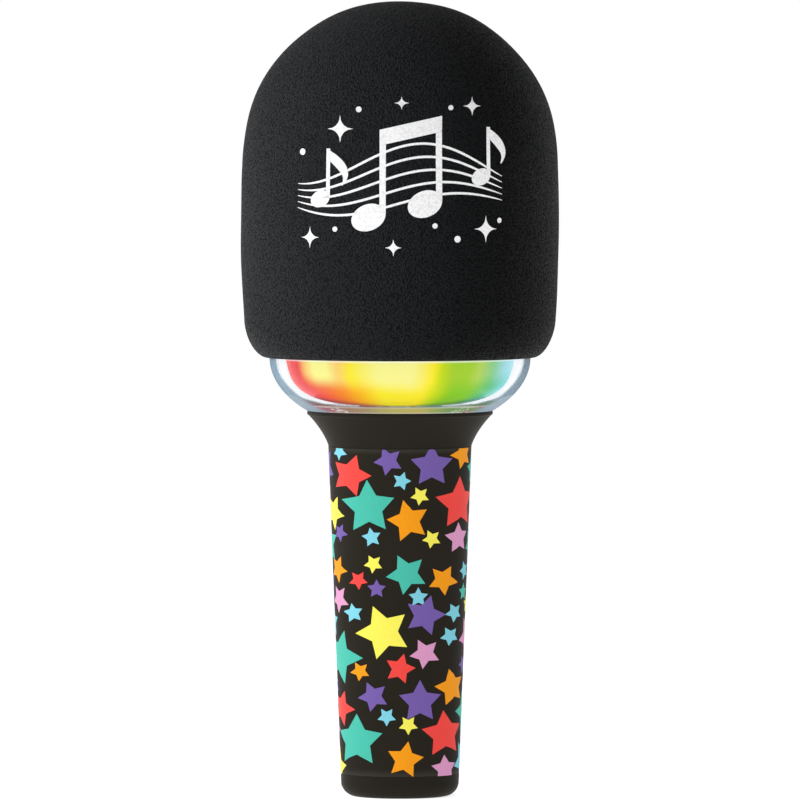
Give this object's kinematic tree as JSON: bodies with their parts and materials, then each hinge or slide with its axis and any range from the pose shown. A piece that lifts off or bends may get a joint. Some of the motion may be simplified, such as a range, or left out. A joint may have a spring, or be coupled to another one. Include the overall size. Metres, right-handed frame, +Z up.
{
  "type": "toy microphone",
  "caption": "Hand-held toy microphone with a foam windscreen over a loudspeaker basket, a clear bowl with a lit diffuser, and a tapered grip printed with stars.",
  "frame": {"origin": "centre of the flat foot that the grip stands on", "axes": "+Z up the axis to the top of the windscreen, -Y to the front, +Y to the buttons"},
  "size_m": [0.096, 0.096, 0.24],
  "materials": {
    "foam": "matt black open-cell foam",
    "basket_plastic": "satin black moulded plastic",
    "rubber": "matt black rubber",
    "capsule_metal": "drawn aluminium can",
    "inner_plastic": "matt black moulded plastic",
    "screw_steel": "zinc-plated steel",
    "soft_foam": "grey closed-cell foam",
    "frame_steel": "pressed steel, painted grey",
    "magnet": "sintered ferrite",
    "yoke_steel": "zinc-plated steel",
    "cone": "coated black cone",
    "copper": "enamelled copper winding",
    "clear_plastic": "clear polished plastic",
    "diffuser": "milky translucent plastic lit from inside in changing colours",
    "white_board": "white solder mask",
    "lamp": "white lamp bodies with clear windows",
    "shell_plastic": "satin brown-black moulded plastic",
    "print_film": "black film with a print of bright stars",
    "green_board": "green solder mask",
    "chip": "black moulded chips",
    "socket_steel": "bright pressed steel",
    "switch_plastic": "dark grey plastic",
    "battery": "blue shrink wrap round a metal can",
    "button_plastic": "pale grey plastic",
    "plunger_plastic": "white plastic",
    "grey_lead": "grey insulation",
    "red_lead": "red insulation",
    "white_lead": "white insulation"
  },
  "bodies": {
    "microphone": {"grille_basket": "basket_plastic", "capsule_boot": "rubber", "speaker_surround": "rubber", "mic_capsule": "capsule_metal", "head_base": "inner_plastic", "speaker_chamber": "inner_plastic", "post_screws": "screw_steel", "speaker_screws": "screw_steel", "led_board_screws": "screw_steel", "shell_screws": "screw_steel", "board_screws": "screw_steel", "speaker_gasket": "soft_foam", "battery_pad": "soft_foam", "speaker_frame": "frame_steel", "speaker_magnet": "magnet", "speaker_washer": "yoke_steel", "speaker_yoke": "yoke_steel", "light_bowl": "clear_plastic", "light_core": "diffuser", "led_board": "white_board", "led_lamps": "lamp", "front_shell": "shell_plastic", "rear_shell": "shell_plastic", "front_print_film": "print_film", "rear_print_film": "print_film", "main_board": "green_board", "board_chips": "chip", "charge_socket": "socket_steel", "switch_cases": "switch_plastic", "battery_cell": "battery", "mic_lead": "grey_lead", "speaker_lead": "red_lead", "battery_leads": "red_lead", "led_lead": "white_lead"},
    "windscreen": {"foam_windscreen": "foam"},
    "cone": {"speaker_cone": "cone", "speaker_dust_cap": "cone", "voice_coil": "copper"},
    "power_press": {"power_button": "button_plastic", "power_plunger": "plunger_plastic"},
    "light_press": {"light_button": "button_plastic", "light_plunger": "plunger_plastic"},
    "voice_press": {"voice_button": "button_plastic", "voice_plunger": "plunger_plastic"},
    "volume_up_press": {"volume_up_button": "button_plastic", "volume_up_plunger": "plunger_plastic"},
    "volume_down_press": {"volume_down_button": "button_plastic", "volume_down_plunger": "plunger_plastic"}
  },
  "joints": [
    {"name": "windscreen_pull", "type": "slide", "parent": "microphone", "child": "windscreen", "axis": [0, 0, 1], "range_m": [0, 0.11]},
    {"name": "cone_travel", "type": "slide", "parent": "microphone", "child": "cone", "axis": [0, 0, 1], "range_m": [-0.001, 0.001], "stiffness_N_per_m": 800, "deforming": ["speaker_surround"]},
    {"name": "power_travel", "type": "slide", "parent": "microphone", "child": "power_press", "axis": [0, -1, 0], "range_m": [0, 0.0006], "stiffness_N_per_m": 800},
    {"name": "light_travel", "type": "slide", "parent": "microphone", "child": "light_press", "axis": [0, -1, 0], "range_m": [0, 0.0006], "stiffness_N_per_m": 800},
    {"name": "voice_travel", "type": "slide", "parent": "microphone", "child": "voice_press", "axis": [0, -1, 0], "range_m": [0, 0.0006], "stiffness_N_per_m": 800},
    {"name": "volume_up_travel", "type": "slide", "parent": "microphone", "child": "volume_up_press", "axis": [0, -1, 0], "range_m": [0, 0.0006], "stiffness_N_per_m": 800},
    {"name": "volume_down_travel", "type": "slide", "parent": "microphone", "child": "volume_down_press", "axis": [0, -1, 0], "range_m": [0, 0.0006], "stiffness_N_per_m": 800}
  ]
}
